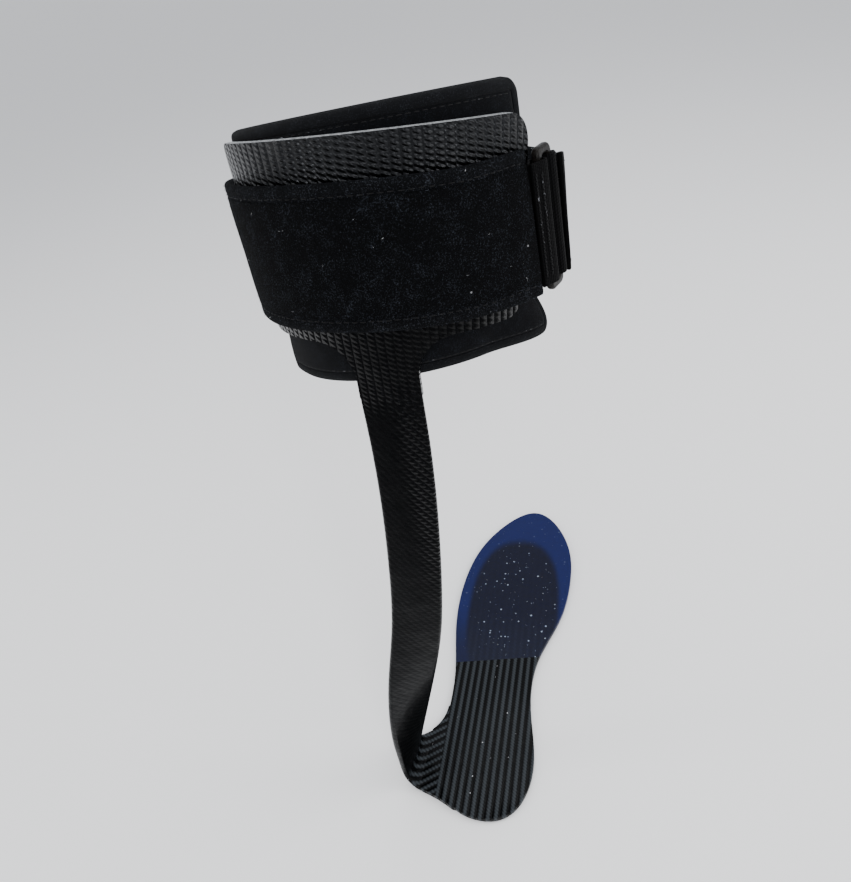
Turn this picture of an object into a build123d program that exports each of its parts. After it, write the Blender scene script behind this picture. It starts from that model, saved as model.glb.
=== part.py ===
from build123d import *
from math import atan, atan2, cos, degrees, radians, sin, tan
import os

# Ankle foot orthosis for a left foot, in millimetres.
# Origin: under the middle of the heel, on the underside of the footplate.
# +Y points to the toes, +X to the inner side of the foot, +Z up.

# ---------------------------------------------------------------- footplate
plate_thickness = 2.9
sheet_thickness = 1.0          # each layer of the translucent toe sheet
edge_round = 0.6               # broken edges of the moulded pieces
sheet_rear_left = 71.0         # where the toe sheet starts, at the outer edge
sheet_rear_right = 77.5        # and at the inner edge

# ---------------------------------------------------------------- side strut
strut_thickness = 3.6
web_thickness = 2.9
web_bend_radius = 6.5
strut_base_x = -44.0

# ---------------------------------------------------------------- calf shell
calf_tilt = 11.67              # the calf axis leans this much towards the toes
calf_side_lean = 1.0           # and this much to the inner side
calf_axis_x = -16.1
calf_axis_y = 1.6
shell_thickness = 2.4
shell_radius = 61.4            # outer radius at the middle of the strap
shell_mid_height = 305.0       # height of that place along the calf axis
shell_taper = 0.108            # the radius grows by this much per millimetre of height
shell_left = 64.0              # angles of the shell's side edges from the back
shell_right = 62.5
rim_slope = 41.4               # rim above the strap's middle, along the slope
wing_slope = -33.0             # lower edge of the wings
root_slope = -56.0             # bottom of the strut root
root_half_width = 12.4
root_centre = 1.7              # the strut root stands a little to the inner side
root_flare = 15.0
rim_corner = 11.0
wing_corner = 9.0

# ---------------------------------------------------------------- calf pad
pad_backing = 0.7
pad_foam = 4.6
pad_lining = 0.7
pad_tape_width = 4.0
pad_bottom = 254.6             # along the calf axis
pad_top = 353.0
pad_skew = 4.6                 # degrees, the pad sits a little crooked
pad_end_right = 74.0           # angle of its ends from the back, at mid height
pad_end_left = 69.5
pad_slant_right = 15.0         # its ends lean, because a flat sheet is wrapped on a cone
pad_slant_left = 2.0
pad_low_corner = 14.0
pad_high_corner = 6.0
pad_clearance = 0.4

# ---------------------------------------------------------------- strap
strap_width = 54.0
strap_binding = 5.5
hook_thickness = 0.9
strap_seat = 0.2               # between the hook patches and the strap
lining_thickness = 0.5
foam_thickness = 1.4
pile_thickness = 1.0
webbing_width = 46.0           # of the sewn loop, the fold and the tab
webbing_thickness = 1.5
tab_thickness = 1.8
tab_hook_thickness = 0.7
tab_gap = 0.3                  # between the front run and the tab's hook patch
tab_reach = 62.0               # how far round the tab runs, in degrees
leave_cone = 28.0              # angle at which the strap starts to lift off the shell

# ---------------------------------------------------------------- ring
ring_angle = 71.3              # middle of the ring, from the back towards the inner side
ring_rise = 2.7                # the strap climbs the cone by this much up to the ring
ring_stand_off = 4.5           # middle of the ring above the shell's surface
ring_upright = 7.0             # the ring stands this much straighter than the cone
ring_lean = 8.0                # and its top leans back by this much
front_dip = 5.0                # the open front of the strap hangs lower
front_tuck = 3.0               # and closer to the leg
bar_spacing = 9.0
bar_width = 3.4
ring_thickness = 3.2
ring_end_width = 3.4
ring_corner = 3.2
ring_play = 0.6                # between the webbing and the ring's ends
bar_reach = 1.86               # farthest point of a bar's rounded section from its middle
bar_clearance = 0.4

os.makedirs("parts", exist_ok=True)

# ---------------------------------------------------------------- calf frame
taper = degrees(atan(shell_taper))
calf_up = Vector(sin(radians(calf_side_lean)), sin(radians(calf_tilt)), cos(radians(calf_tilt))).normalized()
calf = Plane(origin=(calf_axis_x, calf_axis_y, 0), x_dir=(1, 0, -sin(radians(calf_side_lean))), z_dir=calf_up)
calf_axis = Axis(origin=calf.origin, direction=calf.z_dir)


def radial_plane(angle):
    """Plane through the calf axis: x runs outwards at this angle from the back, y up the axis."""
    outwards = calf.x_dir * sin(radians(angle)) - calf.y_dir * cos(radians(angle))
    return Plane(origin=calf.origin, x_dir=outwards, z_dir=outwards.cross(calf.z_dir))


def slope_point(slope, depth):
    """Radius and height of a place on the shell: along its slope from the strap's middle, and outwards."""
    a = radians(taper)
    radius = shell_radius + slope * sin(a) + depth * cos(a)
    height = shell_mid_height + slope * cos(a) - depth * sin(a)
    return (radius, height)


def slope_plane(angle, slope, depth):
    """Plane lying on the shell: x runs round it, y up the slope, z outwards."""
    side = radial_plane(angle)
    radius, height = slope_point(slope, depth)
    a = radians(taper)
    out = side.x_dir * cos(a) - side.y_dir * sin(a)
    up = side.x_dir * sin(a) + side.y_dir * cos(a)
    return Plane(origin=side.origin + side.x_dir * radius + side.y_dir * height, x_dir=up.cross(out), z_dir=out)


def band(first, last, low, high, inner, outer, mode=Mode.ADD):
    """A conical band round the calf, between two angles, two slope lengths and two depths."""
    with BuildSketch(radial_plane(first)) as profile:
        with BuildLine():
            Polyline(
                slope_point(low, inner),
                slope_point(low, outer),
                slope_point(high, outer),
                slope_point(high, inner),
                close=True,
            )
        make_face()
    revolve(profile.sketch, axis=calf_axis, revolution_arc=last - first, mode=mode)


# ---------------------------------------------------------------- outlines of the foot
def foot_outline():
    """Sole outline: round heel, waist on the inner side, wide ball, toe tip towards the inner side."""
    with BuildSketch() as outline:
        with BuildLine():
            Spline(
                (-4.5, -31.0),
                (14.0, -26.0),
                (23.3, -6.0),
                (20.4, 36.0),
                (22.0, 74.0),
                (35.0, 110.0),
                (40.9, 147.0),
                (35.5, 188.0),
                (11.7, 216.0),
                (-12.5, 199.0),
                (-33.4, 148.0),
                (-34.6, 100.0),
                (-29.6, 60.0),
                (-30.6, 20.0),
                (-27.0, -14.0),
                periodic=True,
            )
        make_face()
    return outline.sketch


def toe_region():
    """Everything forward of the slanted line where the toe sheet starts."""
    with BuildSketch() as region:
        with BuildLine():
            Polyline(
                (-60, sheet_rear_left - 3.8),
                (60, sheet_rear_right + 4.7),
                (60, 240),
                (-60, 240),
                close=True,
            )
        make_face()
    return region.sketch


def tongue_outline():
    """Thin oval end of the carbon plate between the two layers of the toe sheet."""
    with BuildSketch(Plane.XY.offset(sheet_thickness)) as tongue:
        with BuildLine():
            Spline(
                (-27.5, 66.0),
                (-30.0, 100.0),
                (-27.0, 138.0),
                (-16.5, 172.0),
                (3.0, 185.0),
                (24.5, 172.0),
                (34.7, 145.0),
                (30.0, 112.0),
                (18.5, 66.0),
            )
            Line((18.5, 66.0), (-27.5, 66.0))
        make_face()
    return tongue.sketch


# ---------------------------------------------------------------- carbon frame
strut_stations = [
    # height, across, back, twist of the ribbon, width, crown of the outer face
    (11.0, -43.8, -1.0, 83.0, 27.4, 0.1),
    (25.0, -42.2, -3.6, 70.0, 24.0, 0.2),
    (45.0, -39.0, -6.6, 54.0, 23.6, 0.3),
    (68.0, -34.5, -8.6, 37.0, 23.6, 0.4),
    (95.0, -28.2, -9.8, 20.0, 23.6, 0.5),
    (129.0, -20.1, -8.9, 6.0, 23.8, 0.6),
    (165.0, -14.7, -7.2, 2.0, 24.0, 0.8),
    (205.0, -11.2, -3.9, 1.0, 24.4, 1.0),
    (240.0, -9.9, -1.3, 1.0, 24.8, 1.25),
]


def ribbon_section(where, across, along, width, thickness, crown):
    """Slice of the laminate ribbon: crowned faces and rounded edges."""
    side = across - along * across.dot(along)
    half = width / 2
    edge = thickness / 2
    with BuildSketch(Plane(origin=where, x_dir=side, z_dir=along)) as slice_sketch:
        with BuildLine():
            inner = ThreePointArc((-half + edge, edge), (0, edge - crown), (half - edge, edge))
            right = ThreePointArc((half - edge, edge), (half, 0), (half - edge, -edge))
            outer = ThreePointArc((half - edge, -edge), (0, -edge - crown), (-half + edge, -edge))
            left = ThreePointArc((-half + edge, -edge), (-half, 0), (-half + edge, edge))
        make_face()
    return slice_sketch.sketch.faces()[0]


strut_points = [Vector(x, y, z) for z, x, y, twist, width, crown in strut_stations]
root_angle = degrees(atan(root_centre / shell_radius))
root_crown = 1.35              # the ribbon's faces curve here as the shell does
root_depth = -shell_thickness / 2 - root_crown + 0.05
root_plane = slope_plane(root_angle, root_slope + 4, root_depth)
strut_top = slope_plane(root_angle, root_slope + 14, root_depth)
spine_points = strut_points + [root_plane.origin, strut_top.origin]

slices = []
bend_z = web_thickness / 2 + web_bend_radius
bend_x = strut_base_x + web_bend_radius
for turn, rear, front in ((0, -17.0, 21.3), (30, -16.2, 18.8), (60, -15.4, 16.0)):
    a = radians(turn)
    middle = (rear + front) / 2
    where = Vector(bend_x - web_bend_radius * sin(a), middle, bend_z - web_bend_radius * cos(a))
    along = Vector(-cos(a), 0, sin(a))
    slices.append(ribbon_section(where, Vector(0, 1, 0), along, front - rear, web_thickness, 0.05))
for i, (z, x, y, twist, width, crown) in enumerate(strut_stations):
    before = spine_points[i - 1] if i else Vector(strut_base_x, 0.3, bend_z - 2)
    along = (spine_points[i + 1] - before).normalized()
    across = Vector(cos(radians(twist)), sin(radians(twist)), 0)
    depth = web_thickness + (strut_thickness - web_thickness) * min(1, z / 45)
    if z > 200:
        depth = strut_thickness + (shell_thickness - strut_thickness) * (z - 200) / 60
    slices.append(ribbon_section(spine_points[i], across, along, width, depth, crown))
for plane in (root_plane, strut_top):
    slices.append(ribbon_section(plane.origin, plane.x_dir, plane.y_dir, 24.9, shell_thickness, root_crown))

with BuildPart() as calf_shell:
    band(-shell_left, shell_right, root_slope, rim_slope, -shell_thickness, 0)
    # below the wings only the strut root is left, with a wide flare on each side
    low = slope_point(root_slope - 8, 0)[1]
    high = slope_point(wing_slope, 0)[1]
    for side in (1, -1):
        with BuildSketch(Plane(origin=calf.origin, x_dir=calf.x_dir, z_dir=-calf.y_dir)):
            with BuildLine():
                Polyline(
                    (side * root_half_width + root_centre, low),
                    (side * root_half_width + root_centre, high),
                    (side * 70, high + 1.0),
                    (side * 70, low),
                    close=True,
                )
            make_face()
            flare = vertices().sort_by(Axis.Y)[-2:].sort_by(lambda v: abs(v.X))[0]
            fillet(flare, radius=root_flare)
        extrude(amount=90, mode=Mode.SUBTRACT)
    for end in (-shell_left, shell_right):
        rim_end = slope_plane(end, rim_slope, -shell_thickness / 2).origin
        fillet(edges().sort_by_distance(rim_end)[0], radius=rim_corner)
        wing_end = slope_plane(end, wing_slope + 1, -shell_thickness / 2).origin
        fillet(edges().sort_by_distance(wing_end)[0], radius=wing_corner)

with BuildPart() as carbon_frame:
    extrude(foot_outline(), amount=plate_thickness)
    extrude(toe_region(), amount=plate_thickness, mode=Mode.SUBTRACT)
    rims = edges().group_by(Axis.Z)[0] + edges().group_by(Axis.Z)[-1]
    fillet(rims.filter_by(lambda e: e.geom_type != GeomType.LINE), radius=edge_round)
    extrude(tongue_outline(), amount=plate_thickness - 2 * sheet_thickness)
    with BuildSketch():
        with BuildLine():
            ThreePointArc((bend_x, 21.3), (-33.2, 27.0), (-30.2, 38.0))
            Polyline((-30.2, 38.0), (-20.0, 38.0), (-14.0, -27.0), (-19.0, -26.0))
            ThreePointArc((-19.0, -26.0), (-28.0, -20.9), (bend_x, -17.0))
            Line((bend_x, -17.0), (bend_x, 21.3))
        make_face()
    extrude(amount=plate_thickness)
    loft(sections=slices)
    add(calf_shell.part)
carbon_frame.part.label = "carbon_frame"

# ---------------------------------------------------------------- toe sheet
with BuildPart() as toe_sheet_upper:
    with BuildSketch(Plane.XY.offset(plate_thickness - sheet_thickness)):
        add(foot_outline())
        add(toe_region(), mode=Mode.INTERSECT)
    extrude(amount=sheet_thickness)
    top = edges().group_by(Axis.Z)[-1]
    fillet(top.filter_by(lambda e: e.geom_type != GeomType.LINE), radius=edge_round)
toe_sheet_upper.part.label = "toe_sheet_upper"

with BuildPart() as toe_sheet_lower:
    with BuildSketch():
        add(foot_outline())
        add(toe_region(), mode=Mode.INTERSECT)
    extrude(amount=plate_thickness - sheet_thickness)
    foot = edges().group_by(Axis.Z)[0]
    fillet(foot.filter_by(lambda e: e.geom_type != GeomType.LINE), radius=edge_round)
    extrude(tongue_outline(), amount=plate_thickness, mode=Mode.SUBTRACT)
toe_sheet_lower.part.label = "toe_sheet_lower"

# ---------------------------------------------------------------- hook patches on the shell
with BuildPart() as pad_hooks:
    for first in (18, -44):
        band(first, first + 26, -18, 30, -shell_thickness - hook_thickness, -shell_thickness)
pad_hooks.part.label = "pad_hooks"

with BuildPart() as strap_hooks:
    for first in (20, -52):
        band(first, first + 32, -19, 19, 0, hook_thickness)
strap_hooks.part.label = "strap_hooks"

# ---------------------------------------------------------------- calf pad
pad_outside = -shell_thickness - hook_thickness - pad_clearance


def pad_layer(inner, outer, inset):
    """One layer of the pad: a flat rounded sheet wrapped on the cone, set a little crooked."""
    lean = radians(pad_skew)
    level = calf.z_dir * cos(lean) - calf.x_dir * sin(lean)
    with BuildPart() as layer:
        band(-95, 100, -70, 70, inner, outer)
        split(bisect_by=Plane(calf.origin + calf.z_dir * (pad_top - inset), z_dir=-level))
        split(bisect_by=Plane(calf.origin + calf.z_dir * (pad_bottom + inset), z_dir=level))
        for angle, slant in ((pad_end_right, pad_slant_right), (-pad_end_left, pad_slant_left)):
            side = 1 if angle > 0 else -1
            edge = slope_plane(angle, 0, 0)
            off = edge.x_dir * cos(radians(slant)) * side + edge.y_dir * sin(radians(slant))
            split(bisect_by=Plane(edge.origin - off * inset, z_dir=-off))
        corners = edges().filter_by(GeomType.LINE).filter_by(lambda e: e.length < 1.6 * (outer - inner))
        for corner in corners:
            spot = corner.center()
            local = calf.to_local_coords(spot)
            radius = (pad_high_corner if local.Z > shell_mid_height else pad_low_corner) - inset * 0.6
            face = slope_plane(degrees(atan2(local.X, -local.Y)), 0, 0)
            inward = -1 if local.X > 0 else 1
            down = -1 if local.Z > shell_mid_height else 1
            with BuildSketch(Plane(origin=spot, x_dir=face.x_dir, z_dir=face.z_dir)):
                with Locations((inward * (radius / 2 - 3), down * (radius / 2 - 3))):
                    Rectangle(radius + 6, radius + 6)
                with Locations((inward * radius, down * radius)):
                    Circle(radius, mode=Mode.SUBTRACT)
            extrude(amount=12, both=True, mode=Mode.SUBTRACT)
    return layer.part


with BuildPart() as pad_backing_layer:
    add(pad_layer(pad_outside - pad_backing, pad_outside, pad_tape_width))
pad_backing_layer.part.label = "pad_backing"

with BuildPart() as pad_foam_layer:
    add(pad_layer(pad_outside - pad_backing - pad_foam, pad_outside - pad_backing, pad_tape_width))
pad_foam_layer.part.label = "pad_foam"

with BuildPart() as pad_lining_layer:
    pad_inside = pad_outside - pad_backing - pad_foam - pad_lining
    add(pad_layer(pad_inside, pad_inside + pad_lining, pad_tape_width))
pad_lining_layer.part.label = "pad_lining"

with BuildPart() as pad_edge_tape:
    add(pad_layer(pad_inside, pad_outside, 0))
    for layer in (pad_backing_layer, pad_foam_layer, pad_lining_layer):
        add(layer.part, mode=Mode.SUBTRACT)
pad_edge_tape.part.label = "pad_edge_tape"

# ---------------------------------------------------------------- strap
strap_inside = hook_thickness + strap_seat
strap_total = lining_thickness + foam_thickness + pile_thickness
strap_middle = strap_inside + strap_total / 2
strap_end_half = 23.5          # half the strap's width at its end by the ring
face_half = strap_width / 2 - strap_binding
curve_radius = slope_point(0, ring_stand_off)[0] / cos(radians(taper))


def ease(value):
    """Smooth step from 0 to 1."""
    value = min(1.0, max(0.0, value))
    return value * value * (3 - 2 * value)


def strap_place(angle):
    """Plane in the strap's middle layer: x round the leg, y across the strap, z outwards.

    At the back the strap lies on the shell's cone. Towards the ring, and round the open
    front, it stands straighter than the cone, climbs a little and leans back.
    """
    dip = 0
    tuck = 0
    if angle > 0:
        free = ease((angle - leave_cone) / (ring_angle - 6 - leave_cone))
    else:
        free = ease((-shell_left - 6 - angle) / 120)
        past_ring = angle + 360 - ring_angle
        dip = front_dip * ease((past_ring - 4) / 50) * free
        tuck = front_tuck * ease((past_ring - 6) / 24) * free
    rise = ring_rise * free - dip
    stand_off = strap_middle + (ring_stand_off - strap_middle) * free - tuck
    on_cone = slope_plane(angle, rise, stand_off)
    k = radians(ring_upright * free)
    r = radians(ring_lean * free)
    straighter = on_cone.y_dir * cos(k) - on_cone.z_dir * sin(k)
    across = straighter * cos(r) - on_cone.x_dir * sin(r)
    along = on_cone.x_dir * cos(r) + straighter * sin(r)
    return Plane(origin=on_cone.origin, x_dir=along, z_dir=along.cross(across))


half_strap = strap_total / 2
band_last = ring_angle - 11.2
band_first = ring_angle + 8.5 - 360


def narrow(angle):
    """How much narrower each side of the strap is towards its end by the ring."""
    return (strap_width / 2 - strap_end_half) * ease((band_first + 52 - angle) / 46)


def strap_layer(first, last, low, high, inner, outer, step=14.0, taper_low=0, taper_high=0):
    """A layer of the strap from one angle to another, lofted through slices across it."""
    count = max(2, round(abs(last - first) / step) + 1)
    slices_round = []
    for n in range(count):
        angle = first + (last - first) * n / (count - 1)
        place = strap_place(angle)
        bottom = low + narrow(angle) * taper_low
        top = high - narrow(angle) * taper_high
        # the slice's x runs across the strap and its y runs outwards
        with BuildSketch(Plane(origin=place.origin, x_dir=place.y_dir, z_dir=place.x_dir)) as cut:
            with Locations(((bottom + top) / 2, (inner + outer) / 2)):
                Rectangle(top - bottom, outer - inner)
        slices_round.append(cut.sketch.faces()[0])
    loft(sections=slices_round)


def strap_face(inner, outer):
    """A layer between the two bindings, over the strap's whole length."""
    strap_layer(band_first, band_last, -face_half, face_half, inner, outer, 14.0, 1, 1)


def strap_edge(low, high, side):
    """A binding along one edge, which keeps its width as the strap narrows."""
    strap_layer(band_first, band_last, low, high, -half_strap, half_strap, 14.0, -side, side)


with BuildPart() as strap_lining:
    strap_face(-half_strap, -half_strap + lining_thickness)
strap_lining.part.label = "strap_lining"

with BuildPart() as strap_foam:
    foam_inside = -half_strap + lining_thickness
    strap_face(foam_inside, foam_inside + foam_thickness)
strap_foam.part.label = "strap_foam"

with BuildPart() as strap_pile:
    strap_face(half_strap - pile_thickness, half_strap)
strap_pile.part.label = "strap_pile"

with BuildPart() as strap_top_binding:
    strap_edge(face_half, strap_width / 2, 1)
strap_top_binding.part.label = "strap_top_binding"

with BuildPart() as strap_bottom_binding:
    strap_edge(-strap_width / 2, -face_half, -1)
strap_bottom_binding.part.label = "strap_bottom_binding"

# ---------------------------------------------------------------- ring and the webbing round its bars
ring_plane = strap_place(ring_angle)
across_ring = Plane(origin=ring_plane.origin, x_dir=ring_plane.x_dir, z_dir=-ring_plane.y_dir)
loop_bore = bar_reach + bar_clearance
loop_outer = loop_bore + webbing_thickness
fold_bore = bar_reach + 0.12
fold_outer = fold_bore + webbing_thickness
fold_end = bar_spacing / 2 + 3.6


def round_the_leg(offset, depth):
    """Place across the ring on the strap's circle, given how far round it lies."""
    r = curve_radius + depth
    rise = r - curve_radius - offset * offset / (2 * curve_radius)
    return (offset, rise)


with BuildPart() as ring_loop:
    with BuildSketch(across_ring):
        with BuildLine():
            Polyline(
                round_the_leg(-11.4, -half_strap),
                round_the_leg(-11.4, half_strap),
                (-bar_spacing / 2 - 2.2, loop_outer - 0.6),
                (-bar_spacing / 2, loop_outer),
                (-bar_spacing / 2, -loop_outer),
                (-bar_spacing / 2 - 2.2, -loop_outer + 0.4),
                close=True,
            )
        make_face()
        with Locations((-bar_spacing / 2, 0)):
            Circle(loop_outer)
            Circle(loop_bore, mode=Mode.SUBTRACT)
    extrude(amount=webbing_width / 2, both=True)
ring_loop.part.label = "ring_loop"

with BuildPart() as loop_bar_tacks:
    neck_low = Vector(*round_the_leg(-11.4, half_strap))
    neck_high = Vector(-bar_spacing / 2 - 2.2, loop_outer - 0.6)
    run = (neck_high - neck_low).normalized()
    for share in (0.22, 0.66):
        spot = neck_low + (neck_high - neck_low) * share + Vector(-run.Y, run.X) * 0.25
        with BuildSketch(across_ring):
            with Locations((spot.X, spot.Y)):
                Rectangle(1.2, 0.5, rotation=degrees(atan(run.Y / run.X)))
        extrude(amount=webbing_width / 2 - 4, both=True)
loop_bar_tacks.part.label = "loop_bar_tacks"

with BuildPart() as strap_ring:
    with BuildSketch(ring_plane):
        RectangleRounded(bar_spacing + bar_width, webbing_width + 2 * ring_play + 2 * ring_end_width, ring_corner)
        RectangleRounded(bar_spacing - bar_width, webbing_width + 2 * ring_play, 1.4, mode=Mode.SUBTRACT)
    extrude(amount=ring_thickness / 2, both=True)
    flats = faces().filter_by(GeomType.PLANE).filter_by(Axis(ring_plane.origin, ring_plane.z_dir))
    fillet(flats.edges(), radius=1.2)
strap_ring.part.label = "strap_ring"

tab_hook_inside = half_strap + tab_gap
tab_inside = tab_hook_inside + tab_hook_thickness
with BuildPart() as front_fold:
    with BuildSketch(across_ring):
        with BuildLine():
            Polyline(
                (bar_spacing / 2, fold_outer),
                (fold_end, 3.2),
                round_the_leg(fold_end, -half_strap),
                (bar_spacing / 2, -fold_outer),
                close=True,
            )
        make_face()
        with Locations((bar_spacing / 2, 0)):
            Circle(fold_outer)
            Circle(fold_bore, mode=Mode.SUBTRACT)
    extrude(amount=webbing_width / 2, both=True)
front_fold.part.label = "front_fold"

# ---------------------------------------------------------------- closing tab
tab_start = ring_angle + 8.7 - 360
with BuildPart() as closing_tab:
    strap_layer(
        tab_start,
        tab_start + tab_reach,
        -webbing_width / 2,
        webbing_width / 2,
        tab_inside,
        tab_inside + tab_thickness,
        step=8.0,
    )
    start = strap_place(tab_start)
    tab_hinge = Plane(
        origin=start.origin + start.z_dir * (tab_inside + tab_thickness / 2),
        x_dir=start.x_dir,
        z_dir=start.z_dir,
    )
    with BuildSketch(Plane(origin=tab_hinge.origin, x_dir=tab_hinge.x_dir, z_dir=tab_hinge.y_dir)):
        Circle(tab_thickness / 2)
    extrude(amount=webbing_width / 2, both=True)
closing_tab.part.label = "closing_tab"

with BuildPart() as tab_hook:
    tab_end = tab_start + tab_reach
    strap_layer(tab_start + 8, tab_end - 2, -20, 20, tab_hook_inside, tab_inside, step=8.0)
    add(closing_tab.part, mode=Mode.SUBTRACT)
tab_hook.part.label = "tab_hook"

with BuildPart() as tab_grip:
    grip_half = webbing_width / 2
    strap_layer(tab_end, tab_end + 8, -grip_half, grip_half, tab_inside - 0.4, tab_inside + 2.3, step=4.0)
tab_grip.part.label = "tab_grip"

for piece in (
    carbon_frame,
    toe_sheet_upper,
    toe_sheet_lower,
    pad_hooks,
    strap_hooks,
    pad_backing_layer,
    pad_foam_layer,
    pad_lining_layer,
    pad_edge_tape,
    strap_lining,
    strap_foam,
    strap_pile,
    strap_top_binding,
    strap_bottom_binding,
    ring_loop,
    loop_bar_tacks,
    strap_ring,
    front_fold,
    closing_tab,
    tab_hook,
    tab_grip,
):
    export_step(piece.part, f"parts/{piece.part.label}.step")
    print(piece.part.label, round(piece.part.volume), len(piece.part.solids()), piece.part.is_valid)

for name, spot, axis in (
    ("ring hinge", ring_plane.origin - ring_plane.x_dir * (bar_spacing / 2), -ring_plane.y_dir),
    ("tab hinge", tab_hinge.origin, -tab_hinge.y_dir),
    ("pad slide", calf.origin, calf.z_dir),
):
    print(name, [round(v, 6) for v in tuple(spot / 1000)], [round(v, 6) for v in tuple(axis)])
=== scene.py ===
# %% [markdown]
# An ankle foot orthosis: a carbon brace for a left leg that has lost some of its muscle control.
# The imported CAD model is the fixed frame, so the first step loads it and keeps its box.
# Every piece made here sits where the CAD says, in metres, and rides on one of its bodies.

# %% Load the frame
import math
import random

import bmesh
import bpy
import numpy as np
from mathutils import Matrix, Vector


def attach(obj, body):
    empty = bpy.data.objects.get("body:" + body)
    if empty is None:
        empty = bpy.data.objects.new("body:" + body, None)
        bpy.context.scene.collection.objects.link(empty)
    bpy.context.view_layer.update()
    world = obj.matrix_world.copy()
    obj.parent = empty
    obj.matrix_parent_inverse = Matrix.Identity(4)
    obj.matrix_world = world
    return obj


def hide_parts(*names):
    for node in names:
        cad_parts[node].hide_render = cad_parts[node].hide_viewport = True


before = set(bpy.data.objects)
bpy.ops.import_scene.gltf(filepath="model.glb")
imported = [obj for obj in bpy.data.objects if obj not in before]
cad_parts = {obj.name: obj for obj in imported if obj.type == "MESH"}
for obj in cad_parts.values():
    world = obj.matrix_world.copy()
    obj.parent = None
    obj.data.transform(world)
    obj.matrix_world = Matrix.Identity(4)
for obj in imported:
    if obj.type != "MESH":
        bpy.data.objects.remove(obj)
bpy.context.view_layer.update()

MM = 0.001
deg = math.radians
random.seed(11)

# %% [markdown]
# The camera comes early, because it decides what has to look right first. It stands behind the
# brace, a little to the inner side, and looks down over the calf shell to the footplate.
# It is placed by a position and three directions, so the matrix is written out in full.

# %% Camera
CAMERA_PLACE = Vector((0.0741, -0.2484, 0.4142))
TURN, PITCH, ROLL = deg(16.59), deg(34.96), deg(11.4)
look = Vector((-math.sin(TURN) * math.cos(PITCH), math.cos(TURN) * math.cos(PITCH), -math.sin(PITCH)))
level = look.cross(Vector((0, 0, 1))).normalized()
down = look.cross(level)
right = level * math.cos(ROLL) + down * math.sin(ROLL)
below = -level * math.sin(ROLL) + down * math.cos(ROLL)
camera = bpy.data.objects.new("camera", bpy.data.cameras.new("camera"))
camera.data.sensor_width = 36
camera.data.lens = 32.13
camera.data.clip_start = 0.01
camera.matrix_world = Matrix((
    (right.x, -below.x, -look.x, CAMERA_PLACE.x),
    (right.y, -below.y, -look.y, CAMERA_PLACE.y),
    (right.z, -below.z, -look.z, CAMERA_PLACE.z),
    (0, 0, 0, 1),
))
bpy.context.scene.collection.objects.link(camera)
bpy.context.scene.camera = camera
print("camera looks along", tuple(round(v, 3) for v in look))

# %% [markdown]
# Small products are lit by soft boxes. Glossy carbon shows only what it reflects, so the lamps
# are large and placed where their reflections fall on the shell and along the strut.

# %% Soft boxes
def soft_box(name, place, target, size, power):
    lamp = bpy.data.lights.new(name, "AREA")
    lamp.shape = "RECTANGLE"
    lamp.size, lamp.size_y = size
    lamp.energy = power
    holder = bpy.data.objects.new(name, lamp)
    holder.location = place
    holder.rotation_euler = (Vector(target) - Vector(place)).to_track_quat("-Z", "Y").to_euler()
    bpy.context.scene.collection.objects.link(holder)


soft_box("lamp_over", (0.05, 0.15, 1.3), (0, 0.05, 0.1), (1.2, 1.2), 9)
soft_box("lamp_back", (0.45, -1.0, 0.75), (0, 0, 0.25), (0.35, 0.8), 8)
soft_box("lamp_left", (-1.1, -0.35, 0.7), (0, 0, 0.2), (0.25, 1.1), 5)
soft_box("lamp_right", (1.0, 0.25, 0.6), (0, 0.05, 0.25), (0.6, 0.8), 6)
print("soft boxes", len(bpy.data.lights))

# %% [markdown]
# A pale world fills the shadows, and a pale floor far wider than the brace has no edge in view.
# The floor only sets the stage and never counts as part of the brace.

# %% World and floor
world = bpy.data.worlds.new("studio")
world.use_nodes = True
world.node_tree.nodes["Background"].inputs["Color"].default_value = (0.93, 0.95, 1, 1)
world.node_tree.nodes["Background"].inputs["Strength"].default_value = 0.85
bpy.context.scene.world = world

FLOOR_HALF, FLOOR_DROP = 30, 0.0006    # metres; the drop keeps the floor clear of the sole
corners = [(x * FLOOR_HALF, y * FLOOR_HALF, 0) for x, y in ((-1, -1), (1, -1), (1, 1), (-1, 1))]
floor_mesh = bpy.data.meshes.new("floor")
floor_mesh.from_pydata(corners, [], [(0, 1, 2, 3)])
floor = bpy.data.objects.new("floor", floor_mesh)
floor.location.z = -FLOOR_DROP
bpy.context.scene.collection.objects.link(floor)
floor_paint = bpy.data.materials.new("floor_paint")
floor_paint.use_nodes = True
floor_shader = floor_paint.node_tree.nodes["Principled BSDF"]
floor_shader.inputs["Base Color"].default_value = (0.93, 0.93, 0.93, 1)
floor_shader.inputs["Roughness"].default_value = 0.8
floor_mesh.materials.append(floor_paint)
print("pale floor of", 2 * FLOOR_HALF, "metres")

# %% [markdown]
# The shell, the pad and the strap all follow one cone round the calf. These helpers repeat the
# maker's own layout: an angle from the back of the leg, a length up the slope of the cone, and
# a depth outwards. Pieces built on them meet the CAD pieces without any fitting.

# %% The calf cone
TAPER = math.atan(0.108)
SHELL_RADIUS, SHELL_HEIGHT = 61.4, 305.0
CALF_FOOT = Vector((-16.1, 1.6, 0))
CALF_UP = Vector((math.sin(deg(1.0)), math.sin(deg(11.67)), math.cos(deg(11.67)))).normalized()
side_ways = Vector((1, 0, -math.sin(deg(1.0))))
CALF_X = (side_ways - CALF_UP * side_ways.dot(CALF_UP)).normalized()
CALF_Y = CALF_UP.cross(CALF_X)


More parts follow.
